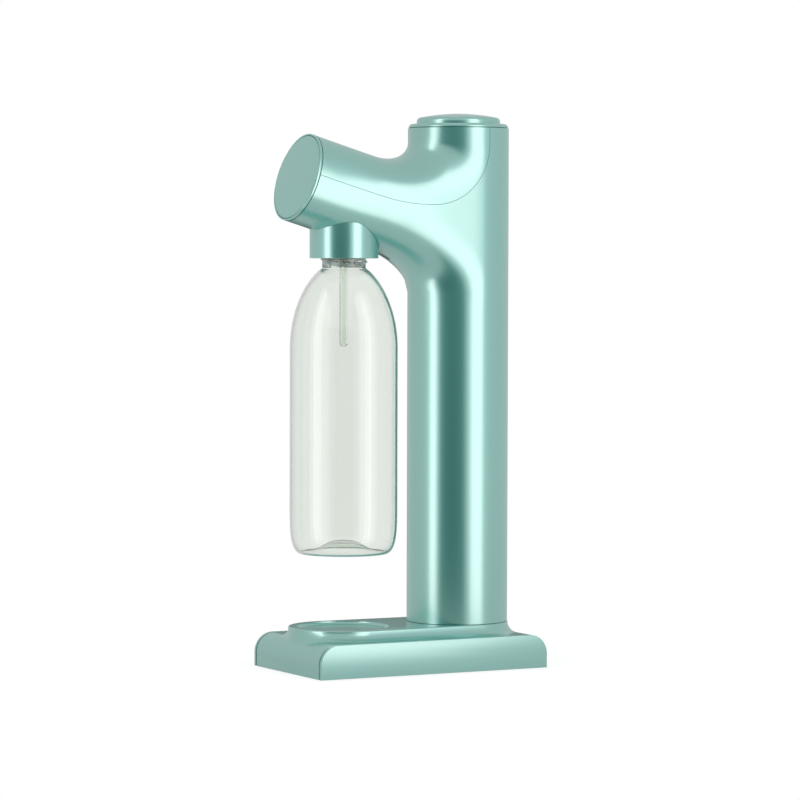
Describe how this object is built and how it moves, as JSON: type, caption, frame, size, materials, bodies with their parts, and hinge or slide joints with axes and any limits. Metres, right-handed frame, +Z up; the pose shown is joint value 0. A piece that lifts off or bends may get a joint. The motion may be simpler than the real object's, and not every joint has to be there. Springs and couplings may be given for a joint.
{
  "type": "sparkling water maker",
  "caption": "Countertop sparkling water maker in metallic pale green: round column, tilted arm with a push button on top, and a clear bottle hanging over the drip tray of a rounded base.",
  "frame": {"origin": "under the middle of the whole object's box, on the floor that the feet stand on", "axes": "+Z up, -Y towards the bottle and the arm's end, +Y towards the column's back, +X to the right of someone who faces the bottle side from the front (-Y looking along +Y)"},
  "size_m": [0.1112, 0.1918, 0.4153],
  "materials": {
    "pearl": "metallic satin gloss lacquer",
    "dark_plastic": "matt",
    "rubber": "matt",
    "steel": "satin",
    "brass": "satin",
    "pale_plastic": "satin",
    "cylinder_paint": "satin",
    "clear_bottle": "clear gloss"
  },
  "bodies": {
    "housing": {"base_body": "pearl", "base_side_plate_left": "pearl", "base_side_plate_right": "pearl", "main_body": "pearl", "upper_cover": "pearl", "arm_end_ring": "pearl", "arm_end_cap": "pearl", "top_ring": "pearl", "bottle_collar": "pearl", "base_bottom_plate": "dark_plastic", "column_flange": "dark_plastic", "vent_insert": "dark_plastic", "valve_carrier": "dark_plastic", "cylinder_guide": "dark_plastic", "nozzle_block": "dark_plastic", "foot_front_left": "rubber", "foot_front_right": "rubber", "foot_rear_left": "rubber", "foot_rear_right": "rubber", "head_seal": "rubber", "bottle_gasket": "rubber", "gas_hose": "rubber", "base_screw_front_left": "steel", "base_screw_front_right": "steel", "base_screw_rear_left": "steel", "base_screw_rear_right": "steel", "ballast_plate": "steel", "flange_screw_1": "steel", "flange_screw_2": "steel", "flange_screw_3": "steel", "button_spring": "steel", "lever_bracket": "steel", "lever_pivot_pin": "steel", "nozzle_bracket": "steel", "valve_head": "brass", "safety_valve": "brass", "hose_inlet_fitting": "brass", "hose_outlet_fitting": "brass", "button_guide": "pale_plastic", "bottle_socket": "pale_plastic", "carbonation_tube": "pale_plastic", "nozzle_tip": "pale_plastic"},
    "button": {"carbonation_button": "pearl"},
    "lever": {"actuating_lever": "steel"},
    "plunger": {"plunger": "steel"},
    "cylinder": {"co2_cylinder": "cylinder_paint", "cylinder_valve": "brass"},
    "valve_pin": {"valve_pin": "steel"},
    "door": {"cylinder_door": "dark_plastic", "door_pad": "rubber"},
    "bottle": {"bottle": "clear_bottle"},
    "drip_plate": {"drip_plate": "pearl"}
  },
  "joints": [
    {"name": "button_press", "type": "slide", "parent": "housing", "child": "button", "axis": [0, 0, -1], "range_m": [0, 0.005], "stiffness_N_per_m": 4000, "springref_m": -0.001, "deforming": ["button_spring"]},
    {"name": "lever_swing", "type": "hinge", "parent": "housing", "child": "lever", "pos_m": [0, 0.06933, 0.379], "axis": [1, 0, 0], "range_deg": [0, 8.6]},
    {"name": "plunger_push", "type": "slide", "parent": "housing", "child": "plunger", "axis": [0, 0, -1], "range_m": [0, 0.003]},
    {"name": "cylinder_unscrew", "type": "hinge", "parent": "housing", "child": "cylinder", "pos_m": [0, 0.04933, 0.2], "axis": [0, 0, -1], "range_deg": [0, 1080]},
    {"name": "pin_push", "type": "slide", "parent": "cylinder", "child": "valve_pin", "axis": [0, 0, -1], "range_m": [0, 0.003]},
    {"name": "door_turn", "type": "hinge", "parent": "housing", "child": "door", "pos_m": [0, 0.04933, 0.003], "axis": [0, 0, -1], "range_deg": [0, 45]},
    {"name": "bottle_lower", "type": "slide", "parent": "housing", "child": "bottle", "axis": [0, 0, -1], "range_m": [0, 0.05]},
    {"name": "drip_plate_lift", "type": "slide", "parent": "housing", "child": "drip_plate", "axis": [0, 0, 1], "range_m": [0, 0.005]}
  ],
  "couplings": [
    {"joint": "lever_swing", "follows": "button_press", "rad_per_m": 29.412},
    {"joint": "plunger_push", "follows": "button_press", "ratio": 0.58823},
    {"joint": "pin_push", "follows": "button_press", "ratio": 0.58823}
  ]
}
